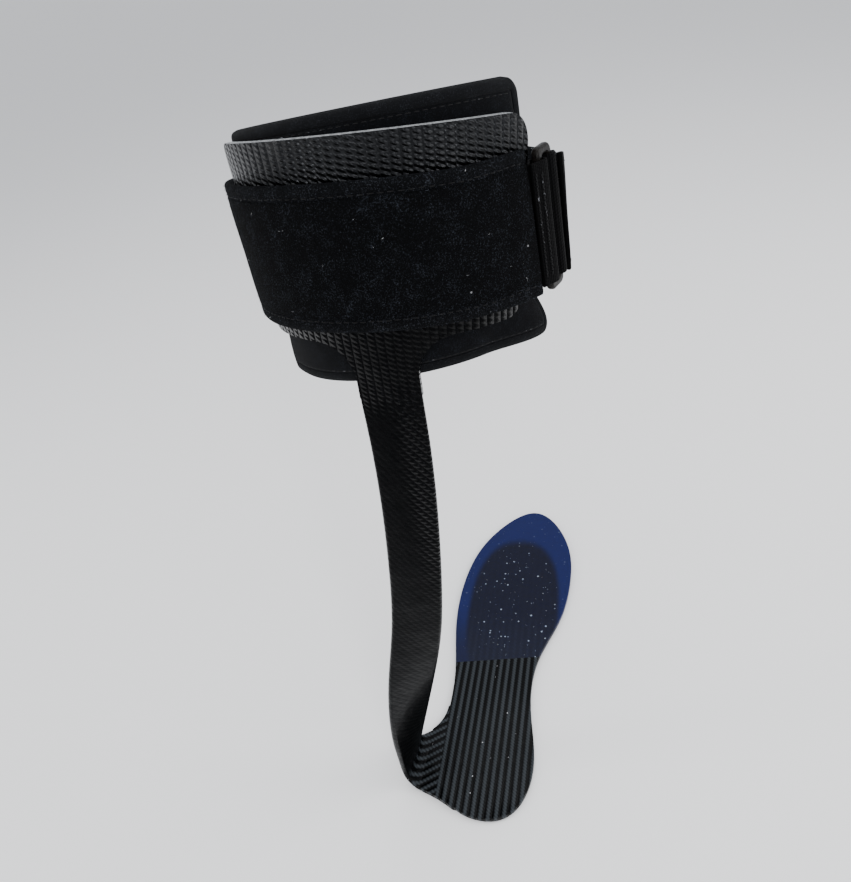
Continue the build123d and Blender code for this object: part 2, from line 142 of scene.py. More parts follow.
def cone_place(angle, slope, depth):
    """Origin in mm and the directions round, up and out of a place on the cone."""
    out_flat = CALF_X * math.sin(deg(angle)) - CALF_Y * math.cos(deg(angle))
    radius = SHELL_RADIUS + slope * math.sin(TAPER) + depth * math.cos(TAPER)
    height = SHELL_HEIGHT + slope * math.cos(TAPER) - depth * math.sin(TAPER)
    out = out_flat * math.cos(TAPER) - CALF_UP * math.sin(TAPER)
    up = out_flat * math.sin(TAPER) + CALF_UP * math.cos(TAPER)
    return CALF_FOOT + out_flat * radius + CALF_UP * height, up.cross(out), up, out


def ease(value):
    value = min(1.0, max(0.0, value))
    return value * value * (3 - 2 * value)


STRAP_MIDDLE = 2.55                                # mm from the shell's middle layer
RING_ANGLE, RING_RISE, RING_OFF = 71.3, 2.7, 4.5   # the ring's centre: degrees, mm up, mm out
BAND_FIRST, BAND_LAST = RING_ANGLE + 8.5 - 360, RING_ANGLE - 11.2


def strap_place(angle):
    """Origin and directions round, across and out of the strap's middle layer."""
    dip = tuck = 0
    if angle > 0:
        free = ease((angle - 28) / (RING_ANGLE - 34))
    else:
        free = ease((-70 - angle) / 120)
        past_ring = angle + 360 - RING_ANGLE
        dip = 5.0 * ease((past_ring - 4) / 50) * free
        tuck = 3.0 * ease((past_ring - 6) / 24) * free
    lift = STRAP_MIDDLE + (RING_OFF - STRAP_MIDDLE) * free - tuck
    origin, along, up, out = cone_place(angle, RING_RISE * free - dip, lift)
    k, r = deg(7.0 * free), deg(8.0 * free)
    straighter = up * math.cos(k) - out * math.sin(k)
    across = straighter * math.cos(r) - along * math.sin(r)
    round_leg = along * math.cos(r) + straighter * math.sin(r)
    return origin, round_leg, across, round_leg.cross(across)


def strap_length(first, last, depth=0.0):
    """Length of the strap between two angles, in metres."""
    spots = []
    for n in range(200):
        origin, along, across, out = strap_place(first + (last - first) * n / 199)
        spots.append(origin + out * depth)
    return sum((b - a).length for a, b in zip(spots, spots[1:])) * MM


print("strap length in metres", round(strap_length(BAND_FIRST, BAND_LAST), 4))

# %% [markdown]
# Two builders make nearly all the soft pieces. One joins a row of equal outlines into a closed
# skin, as a lofted tool would. The other places many small copies of a shape, for stitches and
# fibres. Both write a flat position in millimetres on every corner, so that a weave or a nap
# can follow the cloth instead of the room.

# %% Mesh builders
def new_piece(name, points, faces, flat):
    """A mesh object from points in mm, with its flat position written on every point."""
    mesh = bpy.data.meshes.new(name)
    mesh.from_pydata([tuple(Vector(p) * MM) for p in points], [], faces)
    mesh.validate()
    layer = mesh.attributes.new("flat", "FLOAT_VECTOR", "POINT")
    layer.data.foreach_set("vector", np.array(flat, dtype=np.float32).ravel())
    mesh.polygons.foreach_set("use_smooth", [True] * len(mesh.polygons))
    piece = bpy.data.objects.new(name, mesh)
    bpy.context.scene.collection.objects.link(piece)
    return piece


def skin(name, rings, flat):
    """A closed skin through equal rings of points, with its ends capped."""
    count = len(rings[0])
    points = [p for ring in rings for p in ring]
    faces = []
    for i in range(len(rings) - 1):
        a, b = i * count, (i + 1) * count
        for j in range(count):
            k = (j + 1) % count
            faces.append((a + j, a + k, b + k, b + j))
    last = (len(rings) - 1) * count
    faces.append(tuple(range(count - 1, -1, -1)))
    faces.append(tuple(range(last, last + count)))
    piece = new_piece(name, points, faces, flat)
    fix_normals(piece)
    return piece


def fix_normals(piece, weld=0.0):
    """Joins points closer than weld metres, if that is wanted, and turns the faces outwards."""
    work = bmesh.new()
    work.from_mesh(piece.data)
    if weld:
        bmesh.ops.remove_doubles(work, verts=work.verts, dist=weld)
    bmesh.ops.recalc_face_normals(work, faces=work.faces)
    work.to_mesh(piece.data)
    work.free()


def ripple(a, b, seed=0.0):
    """A calm unevenness from -1 to 1 that cloth has along its length."""
    slow = math.sin(a * 0.061 + seed)
    slanted = math.sin(a * 0.023 + b * 0.11 + seed * 2.1)
    crossing = math.sin(b * 0.19 - a * 0.034 + seed)
    return (slow + slanted + crossing) / 3


print("skins and their normals ready")

# %% [markdown]
# A strap, a tape and a web are all the same kind of thing: a flat outline with rounded edges,
# swept along a path. Stitches and fibres are one small shape, copied to many places.

# %% Sweeps and copies
def band_section(half, thick, edge, puff, steps=14):
    """Outline of a flat soft band: (across, out) pairs with rounded edges and a crowned outer face."""
    outline = []
    for n in range(steps + 1):
        w = -half + edge + (2 * half - 2 * edge) * n / steps
        crown = puff * (1 - (w / (half - edge + 1e-9)) ** 4)
        outline.append((w, thick / 2 + crown))
    for n in range(1, 5):
        a = math.pi / 2 - math.pi * n / 5
        outline.append((half - edge + edge * math.cos(a), thick / 2 * math.sin(a)))
    for n in range(steps + 1):
        w = half - edge - (2 * half - 2 * edge) * n / steps
        outline.append((w, -thick / 2))
    for n in range(1, 5):
        a = -math.pi / 2 - math.pi * n / 5
        outline.append((-half + edge + edge * math.cos(a), thick / 2 * math.sin(a)))
    return outline


def strap_piece(name, first, last, section, step=1.6):
    """Sweeps a section along the strap. section(angle, length) gives (across, out) pairs."""
    count = max(3, int(abs(last - first) / step))
    rings, flat, length, before = [], [], 0.0, None
    for n in range(count + 1):
        angle = first + (last - first) * n / count
        origin, along, across, out = strap_place(angle)
        length += (origin - before).length if before else 0
        before = origin
        ring = []
        for w, d in section(angle, length):
            ring.append(origin + across * w + out * d)
            flat.append((length, w, d))
        rings.append(ring)
    return skin(name, rings, flat)


def scatter(name, shape_points, shape_faces, frames):
    """Many copies of one small shape; a frame is (origin, x, y, z) in mm."""
    points, faces, marks = [], [], []
    for origin, x, y, z in frames:
        start = len(points)
        for px, py, pz in shape_points:
            points.append(origin + x * px + y * py + z * pz)
            marks.append((start * 0.37, px, py))
        faces.extend(tuple(start + i for i in f) for f in shape_faces)
    return new_piece(name, points, faces, marks)


print("sweeps and copies ready")

# %% [markdown]
# Materials are built from many small nodes. A helper for each kind of node, and one each for
# sums, keeps a finish short enough to read as a recipe. Places on a piece are in millimetres.

# %% Node helpers
def finish_material(name):
    paint = bpy.data.materials.new(name)
    paint.use_nodes = True
    tree = paint.node_tree
    return paint, tree, tree.nodes["Principled BSDF"]


def feed(tree, socket, value):
    """Sets a number or a colour on a socket, or links another socket to it."""
    if isinstance(value, (int, float, tuple)):
        socket.default_value = value
    else:
        tree.links.new(value, socket)


def math_node(tree, kind, first, second=None, clamp=False):
    node = tree.nodes.new("ShaderNodeMath")
    node.operation = kind
    node.use_clamp = clamp
    feed(tree, node.inputs[0], first)
    if second is not None:
        feed(tree, node.inputs[1], second)
    return node.outputs[0]


def times(tree, first, second):
    return math_node(tree, "MULTIPLY", first, second)


def plus(tree, first, second, clamp=False):
    return math_node(tree, "ADD", first, second, clamp)


def minus(tree, first, second, clamp=False):
    return math_node(tree, "SUBTRACT", first, second, clamp)


print("sums ready")

# %% [markdown]
# A group needs its sockets named before anything can be linked to them, so one helper makes the
# group with its inputs and outputs, and another places it in a material with its own values.

# %% Groups, noise and blends
def group_tree(name, takes, gives):
    tree = bpy.data.node_groups.new(name, "ShaderNodeTree")
    for label, kind in takes:
        tree.interface.new_socket(label, in_out="INPUT", socket_type=kind)
    for label, kind in gives:
        tree.interface.new_socket(label, in_out="OUTPUT", socket_type=kind)
    return tree, tree.nodes.new("NodeGroupInput"), tree.nodes.new("NodeGroupOutput")


def use_group(tree, group, **values):
    node = tree.nodes.new("ShaderNodeGroup")
    node.node_tree = group
    for label, value in values.items():
        feed(tree, node.inputs[label], value)
    return node


def noise_node(tree, vector, scale, detail=3.0, rough=0.55):
    node = tree.nodes.new("ShaderNodeTexNoise")
    node.inputs["Scale"].default_value = scale
    node.inputs["Detail"].default_value = detail
    node.inputs["Roughness"].default_value = rough
    tree.links.new(vector, node.inputs["Vector"])
    return node.outputs["Fac"]


def between(tree, value, low, high, to_low=0.0, to_high=1.0):
    """Rises smoothly from to_low to to_high while the value goes from low to high."""
    node = tree.nodes.new("ShaderNodeMapRange")
    node.interpolation_type = "SMOOTHSTEP"
    tree.links.new(value, node.inputs["Value"])
    limits = {"From Min": low, "From Max": high, "To Min": to_low, "To Max": to_high}
    for label, number in limits.items():
        node.inputs[label].default_value = number
    return node.outputs["Result"]


COLOUR_A, COLOUR_B, COLOUR_OUT = 6, 7, 2    # where a Mix node keeps its colours


def blend_colour(tree, factor, first, second):
    node = tree.nodes.new("ShaderNodeMix")
    node.data_type = "RGBA"
    tree.links.new(factor, node.inputs["Factor"])
    for number, value in ((COLOUR_A, first), (COLOUR_B, second)):
        feed(tree, node.inputs[number], value + (1,) if isinstance(value, tuple) else value)
    return node.outputs[COLOUR_OUT]


def bump_from(tree, shader, height, distance, strength=1.0):
    node = tree.nodes.new("ShaderNodeBump")
    node.inputs["Strength"].default_value = strength
    node.inputs["Distance"].default_value = distance
    tree.links.new(height, node.inputs["Height"])
    tree.links.new(node.outputs["Normal"], shader.inputs["Normal"])
    return node


print("groups, noise and blends ready")

# %% [markdown]
# Every pattern needs to know where it is. Hard pieces use the place on the object, and cloth
# uses the flat position that its mesh carries. Both are in millimetres.

# %% Places on a piece
def object_place(tree):
    """Position on the piece in mm, as a vector."""
    coords = tree.nodes.new("ShaderNodeTexCoord")
    scale = tree.nodes.new("ShaderNodeVectorMath")
    scale.operation = "SCALE"
    scale.inputs["Scale"].default_value = 1000
    tree.links.new(coords.outputs["Object"], scale.inputs[0])
    return scale.outputs[0]


def flat_place(tree):
    """Position along the cloth in mm, as a vector."""
    node = tree.nodes.new("ShaderNodeAttribute")
    node.attribute_name = "flat"
    return node.outputs["Vector"]


def split_place(tree, vector):
    node = tree.nodes.new("ShaderNodeSeparateXYZ")
    tree.links.new(vector, node.inputs[0])
    return node.outputs


def dot_place(tree, vector, direction, origin=(0, 0, 0)):
    away = tree.nodes.new("ShaderNodeVectorMath")
    away.operation = "SUBTRACT"
    tree.links.new(vector, away.inputs[0])
    away.inputs[1].default_value = origin
    node = tree.nodes.new("ShaderNodeVectorMath")
    node.operation = "DOT_PRODUCT"
    tree.links.new(away.outputs[0], node.inputs[0])
    node.inputs[1].default_value = direction
    return node.outputs["Value"]


print("places ready")

# %% [markdown]
# Effects that several finishes share are node groups, built once: the cords of a laid or woven
# cloth, the nap of a brushed one, and scattered specks of dust. Each takes a place in mm and
# gives out only heights, shades and masks, so every finish keeps its own shader and gloss.

# %% Shared effects: cords, nap and specks
def make_corded_cloth():
    """Round cords laid side by side, each twisted like rope. Across and Along are in mm."""
    tree, takes, gives = group_tree(
        "corded_cloth",
        [("Across", "NodeSocketFloat"), ("Along", "NodeSocketFloat"), ("Pitch", "NodeSocketFloat"),
         ("Twist", "NodeSocketFloat"), ("Slant", "NodeSocketFloat"), ("Knot", "NodeSocketFloat")],
        [("Height", "NodeSocketFloat"), ("Crest", "NodeSocketFloat")],
    )
    cell = math_node(tree, "DIVIDE", takes.outputs["Across"], takes.outputs["Pitch"])
    offset = minus(tree, math_node(tree, "FRACT", cell), 0.5)
    side = times(tree, offset, 2.0)
    rounded = math_node(tree, "COSINE", times(tree, side, math.pi / 2))
    turn = math_node(tree, "DIVIDE", takes.outputs["Along"], takes.outputs["Twist"])
    turn = plus(tree, turn, times(tree, offset, takes.outputs["Slant"]))
    jump = times(tree, math_node(tree, "FLOOR", cell), 0.37)
    wave = math_node(tree, "SINE", times(tree, plus(tree, turn, jump), 2 * math.pi))
    knot = minus(tree, times(tree, wave, 0.5), 0.5)
    knot = times(tree, knot, takes.outputs["Knot"])
    height = times(tree, rounded, plus(tree, 1.0, knot))
    tree.links.new(height, gives.inputs["Height"])
    tree.links.new(between(tree, height, 0.45, 0.95), gives.inputs["Crest"])
    return tree


def make_nap():
    """Loops and tufts of a brushed surface, from coarse to fine."""
    tree, takes, gives = group_tree(
        "soft_nap",
        [("Place", "NodeSocketVector"), ("Size", "NodeSocketFloat")],
        [("Height", "NodeSocketFloat"), ("Shade", "NodeSocketFloat")],
    )
    scaled = tree.nodes.new("ShaderNodeVectorMath")
    scaled.operation = "SCALE"
    tree.links.new(takes.outputs["Place"], scaled.inputs[0])
    tree.links.new(takes.outputs["Size"], scaled.inputs["Scale"])
    fine = noise_node(tree, scaled.outputs[0], 1.0, 3.0, 0.8)
    cells = tree.nodes.new("ShaderNodeTexVoronoi")
    cells.inputs["Scale"].default_value = 1.1
    tree.links.new(scaled.outputs[0], cells.inputs["Vector"])
    height = minus(tree, times(tree, fine, 1.6), times(tree, cells.outputs["Distance"], 0.35))
    broad = noise_node(tree, scaled.outputs[0], 0.09, 2.0, 0.5)
    tree.links.new(height, gives.inputs["Height"])
    shade = plus(tree, times(tree, fine, 0.9), times(tree, broad, 0.2))
    tree.links.new(between(tree, shade, 0.57, 0.76), gives.inputs["Shade"])
    return tree


def make_specks():
    """A mask of small scattered specks of dust and lint."""
    tree, takes, gives = group_tree(
        "dust_specks",
        [("Place", "NodeSocketVector"), ("Spacing", "NodeSocketFloat"), ("Reach", "NodeSocketFloat")],
        [("Mask", "NodeSocketFloat")],
    )
    scaled = tree.nodes.new("ShaderNodeVectorMath")
    scaled.operation = "SCALE"
    tree.links.new(takes.outputs["Place"], scaled.inputs[0])
    tree.links.new(math_node(tree, "DIVIDE", 1.0, takes.outputs["Spacing"]), scaled.inputs["Scale"])
    cells = tree.nodes.new("ShaderNodeTexVoronoi")
    cells.inputs["Scale"].default_value = 1.0
    tree.links.new(scaled.outputs[0], cells.inputs["Vector"])
    chance = split_place(tree, cells.outputs["Color"])
    size = times(tree, math_node(tree, "POWER", chance[0], 3.0), takes.outputs["Reach"])
    inside = math_node(tree, "LESS_THAN", cells.outputs["Distance"], size)
    chosen = math_node(tree, "GREATER_THAN", chance[1], 0.45)
    tree.links.new(times(tree, inside, chosen), gives.inputs["Mask"])
    return tree


corded_cloth, soft_nap, dust_specks = make_corded_cloth(), make_nap(), make_specks()
print("groups:", corded_cloth.name, soft_nap.name, dust_specks.name)

# %% [markdown]
# The brace itself is one laminate of carbon cloth under clear resin. On the shell its cords
# stand upright like rope, on the footplate they run to the toes, on the web they run across
# the bend, and the strut is wrapped in smooth cloth. One material does it all: it works out
# which part of the brace a place belongs to and chooses that part's weave.

# %% Carbon laminate
SOLE_EDGE = (-29.8, -28.6)      # x where the web meets the sole
SOLE_TOP, WEB_TOP = (4.0, 9.0), (4.5, 14.0)         # heights where the cords of sole and web end
STRUT_FOOT, SHELL_FOOT = (9, 20), (236, 262)        # heights where the strut and the shell start
SHELL_RIM = (41.12, 41.38)      # up the slope of the cone: the cut upper edge of the shell
CARBON_DARK, CARBON_CREST_PAINTED_HIGHLIGHT = (0.0012, 0.0013, 0.0015), (0.03, 0.035, 0.04)
LOW_STRUT_PAINTED_LIGHT, RIM_PAINTED_HIGHLIGHT, DUST_SHADE = (0.0028, 0.003, 0.0034), (0.3, 0.31, 0.32), (0.5, 0.5, 0.52)
LOW_STRUT_PAINTED_REFLECTION, STRUT_HIGH_GLOSS = (0.0045, 0.0047, 0.0052), (0.0014, 0.0015, 0.0018)
BAND_PAINTED_REFLECTION = (0.0155, 0.016, 0.0172)


def mixed(tree, first, first_share, second, second_share):
    """A sum of two values, each with its own share."""
    return plus(tree, times(tree, first, first_share), times(tree, second, second_share))


def make_carbon():
    paint, tree, shader = finish_material("carbon_laminate")
    place = object_place(tree)
    x, y, z = split_place(tree, place)
    calf_x = dot_place(tree, place, tuple(CALF_X), tuple(CALF_FOOT))
    calf_y = dot_place(tree, place, tuple(CALF_Y), tuple(CALF_FOOT))
    height = dot_place(tree, place, tuple(CALF_UP), tuple(CALF_FOOT))
    angle = math_node(tree, "ARCTAN2", calf_x, times(tree, calf_y, -1.0))
    shell = use_group(tree, corded_cloth, Across=times(tree, angle, SHELL_RADIUS), Along=height,
                      Pitch=3.55, Twist=2.1, Slant=0.7, Knot=0.6)
    lean = plus(tree, x, times(tree, y, -0.02))
    sole = use_group(tree, corded_cloth, Across=lean, Along=y,
                     Pitch=4.3, Twist=1.9, Slant=1.6, Knot=0.22)
    web = use_group(tree, corded_cloth,
                    Across=mixed(tree, x, -0.55, y, 0.83), Along=mixed(tree, x, 0.83, y, 0.55),
                    Pitch=4.2, Twist=2.0, Slant=0.5, Knot=0.28)
    strut = use_group(tree, corded_cloth,
                      Across=mixed(tree, x, 0.8, z, 0.6), Along=mixed(tree, z, 0.8, x, -0.6),
                      Pitch=2.6, Twist=2.6, Slant=0.8, Knot=0.5)

    # Where each kind of cloth shows.
    on_shell = between(tree, height, *SHELL_FOOT)
    on_sole = between(tree, x, *SOLE_EDGE)
    low = between(tree, z, *SOLE_TOP, 1.0, 0.0)
    sole_part = times(tree, on_sole, low)
    web_part = times(tree, minus(tree, 1.0, on_sole), between(tree, z, *WEB_TOP, 1.0, 0.0))
    upper_strut = between(tree, z, 120, 215)
    inner_strut = between(tree, x, -14.0, -2.0)
    strut_part = times(tree, minus(tree, 1.0, on_shell), between(tree, z, *STRUT_FOOT))
    strut_depth = plus(tree, 0.06, times(tree, times(tree, upper_strut, inner_strut), 0.5))

    # The cords stand up as a bump, over a slow unevenness of the resin.
    relief = times(tree, shell.outputs["Height"], on_shell)
    relief = plus(tree, relief, times(tree, sole.outputs["Height"], sole_part))
    relief = plus(tree, relief, times(tree, web.outputs["Height"], web_part))
    strut_relief = times(tree, times(tree, strut.outputs["Height"], strut_depth), strut_part)
    relief = plus(tree, relief, strut_relief)
    unevenness = noise_node(tree, place, 0.09, 2.0)
    relief = plus(tree, relief, times(tree, unevenness, 0.6))
    bump_from(tree, shader, relief, 0.001)

    # Below the strut the cloth is matt. Its crests are painted paler as a painted highlight, with dust in
    # the valleys.
    crest = times(tree, sole.outputs["Crest"], sole_part)
    crest = plus(tree, crest, times(tree, web.outputs["Crest"], web_part), clamp=True)
    colour = blend_colour(tree, crest, CARBON_DARK, CARBON_CREST_PAINTED_HIGHLIGHT)
    # Painted light: the lower strut is painted paler, in its colour here and in its reflecting colour
    # below.
    lower_strut = times(tree, strut_part, between(tree, z, 60, 190, 1.0, 0.0))
    colour = blend_colour(tree, lower_strut, colour, LOW_STRUT_PAINTED_LIGHT)
    dust = use_group(tree, dust_specks, Place=place, Spacing=3.2, Reach=0.12)
    colour = blend_colour(tree, times(tree, dust.outputs["Mask"], low), colour, DUST_SHADE)

    # Strut and shell are treated as dark metal, so that every reflection follows the cords. Their
    # reflecting colour is partly painted light: it is raised on the lower strut and far more on the band
    # above the strap.
    across_square = math_node(tree, "POWER", math_node(tree, "ABSOLUTE", calf_x), 2.0)
    along_square = math_node(tree, "POWER", math_node(tree, "ABSOLUTE", calf_y), 2.0)
    flat_radius = math_node(tree, "SQRT", plus(tree, across_square, along_square))
    up_slope = plus(tree, times(tree, minus(tree, height, SHELL_HEIGHT), math.cos(TAPER)),
                    times(tree, minus(tree, flat_radius, SHELL_RADIUS), math.sin(TAPER)))
    on_band = between(tree, up_slope, 14, 26)
    # Painted reflection: the lower strut reflects more strongly than the upper strut.
    gloss = blend_colour(tree, between(tree, z, 60, 230), LOW_STRUT_PAINTED_REFLECTION, STRUT_HIGH_GLOSS)
    # Painted reflection: the band above the strap reflects far more strongly than the strut.
    gloss = blend_colour(tree, on_band, gloss, BAND_PAINTED_REFLECTION)
    mirror = between(tree, z, 9, 22)
    colour = blend_colour(tree, mirror, colour, gloss)
    # Painted highlight: the shell's cut upper edge is painted as a pale bright line, not metal.
    rim = between(tree, up_slope, *SHELL_RIM)
    colour = blend_colour(tree, rim, colour, RIM_PAINTED_HIGHLIGHT)
    tree.links.new(colour, shader.inputs["Base Color"])
    tree.links.new(minus(tree, mirror, rim, clamp=True), shader.inputs["Metallic"])
    scuffs = noise_node(tree, place, 0.35, 5.0, 0.7)
    rough = plus(tree, between(tree, scuffs, 0.3, 0.8, 0.22, 0.38), times(tree, lower_strut, 0.1))
    tree.links.new(rough, shader.inputs["Roughness"])
    tree.links.new(between(tree, scuffs, 0.25, 0.75, 0.08, 0.03), shader.inputs["Coat Weight"])
    shader.inputs["Coat Roughness"].default_value = 0.08
    shader.inputs["Specular IOR Level"].default_value = 0.05
    return paint


def dress(node_name, paint):
    """Gives a CAD piece its finish."""
    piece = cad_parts[node_name]
    piece.data.materials.clear()
    piece.data.materials.append(paint)
    return piece


carbon_laminate = make_carbon()
dress("carbon_frame", carbon_laminate)
print("carbon laminate on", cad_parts["carbon_frame"].name)

# %% [markdown]
# The front of the sole is a thin sheet of translucent blue plastic in two layers, with the
# tapered tongue of the carbon plate between them. The plastic is coloured glass that scatters,
# so its rim glows where no carbon lies below. The dust on it is a mask of small bright specks.

# %% Toe sheet
TONGUE_MIDDLE, TONGUE_HALF = (3.0, 118.0), (31.0, 66.0)     # x and y of the carbon tongue
TONGUE_POWER = 2.4                                          # 2 is an ellipse, more is squarer
RIM_BLUE, TONGUE_BLUE, WAIST_BLUE = (0.0035, 0.0085, 0.062), (0.002, 0.003, 0.013), (0.004, 0.0055, 0.016)
RIB_PAINTED_HIGHLIGHT, GRIT_SHADE = (0.014, 0.019, 0.042), (0.3, 0.36, 0.46)


def tongue_share(tree, value, middle, half):
    """How far a coordinate is across the tongue: 0 in its middle, 1 at its edge."""
    share = math_node(tree, "DIVIDE", minus(tree, value, middle), half)
    return math_node(tree, "POWER", math_node(tree, "ABSOLUTE", share), TONGUE_POWER)


def make_toe_plastic():
    paint, tree, shader = finish_material("toe_plastic")
    place = object_place(tree)
    x, y, _ = split_place(tree, place)
    dust = use_group(tree, dust_specks, Place=place, Spacing=2.6, Reach=0.3)
    grit = use_group(tree, dust_specks, Place=place, Spacing=1.5, Reach=0.2)
    on_tongue = tongue_share(tree, x, TONGUE_MIDDLE[0], TONGUE_HALF[0])
    on_tongue = plus(tree, on_tongue, tongue_share(tree, y, TONGUE_MIDDLE[1], TONGUE_HALF[1]))
    inside = between(tree, on_tongue, 0.8, 1.15, 1.0, 0.0)
    colour = blend_colour(tree, inside, RIM_BLUE, TONGUE_BLUE)
    near_waist = between(tree, y, 74, 120, 1.0, 0.0)
    colour = blend_colour(tree, times(tree, near_waist, 0.75), colour, WAIST_BLUE)
    cords = use_group(tree, corded_cloth, Across=x, Along=y, Pitch=4.3, Twist=3.0, Slant=1.2, Knot=0.3)
    faint = between(tree, y, 74, 125, 0.22, 0.04)
    # Painted highlight: the crests of the carbon cords under the sheet are painted paler, most near the
    # waist.
    ribs = times(tree, times(tree, cords.outputs["Crest"], faint), inside)
    colour = blend_colour(tree, ribs, colour, RIB_PAINTED_HIGHLIGHT)
    mask = plus(tree, dust.outputs["Mask"], grit.outputs["Mask"], clamp=True)
    mask = times(tree, mask, between(tree, on_tongue, 0.35, 1.1, 1.0, 0.12))
    colour = blend_colour(tree, times(tree, mask, 0.85), colour, GRIT_SHADE)
    tree.links.new(colour, shader.inputs["Base Color"])
    scuffs = noise_node(tree, place, 0.25, 4.0)
    tree.links.new(between(tree, scuffs, 0.3, 0.8, 0.3, 0.5), shader.inputs["Roughness"])
    relief = plus(tree, noise_node(tree, place, 0.12, 2.0), times(tree, mask, 0.15))
    bump_from(tree, shader, relief, 0.0004, 0.4)
    shader.inputs["Subsurface Weight"].default_value = 0.2
    shader.inputs["Specular IOR Level"].default_value = 0.12
    shader.inputs["Subsurface Radius"].default_value = (0.002, 0.003, 0.008)
    shader.inputs["Subsurface Scale"].default_value = 0.5
    shader.inputs["Coat Weight"].default_value = 0.12
    shader.inputs["Coat Roughness"].default_value = 0.2
    return paint


toe_plastic = make_toe_plastic()
dress("toe_sheet_upper", toe_plastic)
dress("toe_sheet_lower", toe_plastic)
print("toe sheet finished")

# %% [markdown]
# The rectangular ring is moulded from tough grey-brown plastic and polished by use. The hook
# patches are black tape covered with rows of tiny hooks; only their edges are ever seen.

# %% Ring and hook patches
def make_ring_plastic():
    paint, tree, shader = finish_material("ring_plastic")
    place = object_place(tree)
    cloud = noise_node(tree, place, 0.3, 3.0)
    cloudy = between(tree, cloud, 0.3, 0.7)
    colour = blend_colour(tree, cloudy, (0.004, 0.0035, 0.0032), (0.011, 0.0095, 0.0085))
    tree.links.new(colour, shader.inputs["Base Color"])
    polish = noise_node(tree, place, 1.2, 4.0)
    tree.links.new(between(tree, polish, 0.3, 0.7, 0.22, 0.4), shader.inputs["Roughness"])
    bump_from(tree, shader, noise_node(tree, place, 0.6, 3.0), 0.0002, 0.5)
    shader.inputs["Subsurface Weight"].default_value = 0.1
    shader.inputs["Subsurface Radius"].default_value = (0.003, 0.002, 0.002)
    shader.inputs["Specular IOR Level"].default_value = 0.1
    return paint


def make_hook_tape():
    paint, tree, shader = finish_material("hook_tape")
    place = object_place(tree)
    x, _, z = split_place(tree, place)
    rows = use_group(tree, corded_cloth, Across=z, Along=x, Pitch=1.3, Twist=1.1, Slant=0.2, Knot=1.0)
    colour = blend_colour(tree, rows.outputs["Crest"], (0.002, 0.002, 0.0023), (0.01, 0.01, 0.011))
    tree.links.new(colour, shader.inputs["Base Color"])
    bump_from(tree, shader, rows.outputs["Height"], 0.0006, 0.9)
    shader.inputs["Roughness"].default_value = 0.6
    shader.inputs["Specular IOR Level"].default_value = 0.15
    return paint


dress("strap_ring", make_ring_plastic())
hook_tape = make_hook_tape()
for hook_node in ("pad_hooks", "strap_hooks", "tab_hook"):
    dress(hook_node, hook_tape)
print("ring and hook patches finished")

# %% [markdown]
# The strap is a sandwich: a smooth lining against the leg, a thin foam, and a face of brushed
# loops that hooks can grip. Loops look dark from the front and bright at a glancing angle, so
# the cloth needs sheen as well as a fine broken height.

# %% Cloth finishes
def make_nap_cloth(name, dark, light, size, depth, sheen, dust_reach):
    """Brushed cloth. Size is the fineness of the nap, depth its height in metres."""
    paint, tree, shader = finish_material(name)
    place = object_place(tree)
    nap = use_group(tree, soft_nap, Place=place, Size=size)
    # The light colour, picked where the nap's Shade is high, is partly painted sparkle, the glints of the
    # loop tips, and partly random tone.
    colour = blend_colour(tree, nap.outputs["Shade"], dark, light)
    lint = use_group(tree, dust_specks, Place=place, Spacing=9.0, Reach=dust_reach)
    colour = blend_colour(tree, times(tree, lint.outputs["Mask"], 0.8), colour, (0.45, 0.46, 0.48))
    tree.links.new(colour, shader.inputs["Base Color"])
    shader.inputs["Roughness"].default_value = 0.9
    shader.inputs["Specular IOR Level"].default_value = 0.05
    shader.inputs["Sheen Weight"].default_value = sheen
    shader.inputs["Sheen Roughness"].default_value = 0.45
    shader.inputs["Sheen Tint"].default_value = (0.75, 0.82, 1.0, 1)
    bump_from(tree, shader, nap.outputs["Height"], depth)
    return paint


def make_woven(name, dark, light, rows, depth):
    """Webbing and tape: fine rows across the length, a weave along them."""
    paint, tree, shader = finish_material(name)
    flat = flat_place(tree)
    along, across, _ = split_place(tree, flat)
    weave = use_group(tree, corded_cloth, Across=along, Along=across,
                      Pitch=rows, Twist=rows * 1.4, Slant=0.7, Knot=0.6)
    worn = noise_node(tree, flat, 0.8, 4.0, 0.7)
    colour = blend_colour(tree, between(tree, weave.outputs["Height"], 0.2, 1.0), dark, light)
    rubbed = (light[0] * 2, light[1] * 2, light[2] * 2.1)
    colour = blend_colour(tree, between(tree, worn, 0.55, 0.85, 0.0, 0.5), colour, rubbed)
    tree.links.new(colour, shader.inputs["Base Color"])
    shader.inputs["Roughness"].default_value = 0.7
    shader.inputs["Specular IOR Level"].default_value = 0.04
    shader.inputs["Sheen Weight"].default_value = 0.005
    shader.inputs["Sheen Roughness"].default_value = 0.5
    bump_from(tree, shader, weave.outputs["Height"], depth, 0.9)
    return paint


loop_pile = make_nap_cloth(
    "loop_pile", (0.0004, 0.0005, 0.0006), (0.034, 0.04, 0.052),
    size=1.7, depth=0.0018, sheen=0.006, dust_reach=0.07)
strap_inner_cloth = make_nap_cloth(
    "strap_inner_cloth", (0.002, 0.002, 0.0022), (0.007, 0.007, 0.0075),
    size=2.6, depth=0.0002, sheen=0.02, dust_reach=0.02)
binding_tape = make_nap_cloth(
    "binding_tape", (0.0008, 0.0009, 0.0011), (0.045, 0.05, 0.062),
    size=1.8, depth=0.0014, sheen=0.012, dust_reach=0.1)
webbing = make_woven("webbing", (0.0004, 0.0004, 0.0005), (0.0022, 0.0022, 0.0026), 0.9, 0.0003)
edge_tape = make_woven("edge_tape", (0.0014, 0.0014, 0.0016), (0.007, 0.007, 0.008), 0.8, 0.0002)
cloths = loop_pile, strap_inner_cloth, binding_tape, webbing, edge_tape
print("cloths ready:", [cloth.name for cloth in cloths])

# %% [markdown]
# Sewing thread is two or three strands twisted together. Most of it is as black as the cloth,
# and here and there it has picked up pale lint, which is what makes a seam visible at all.

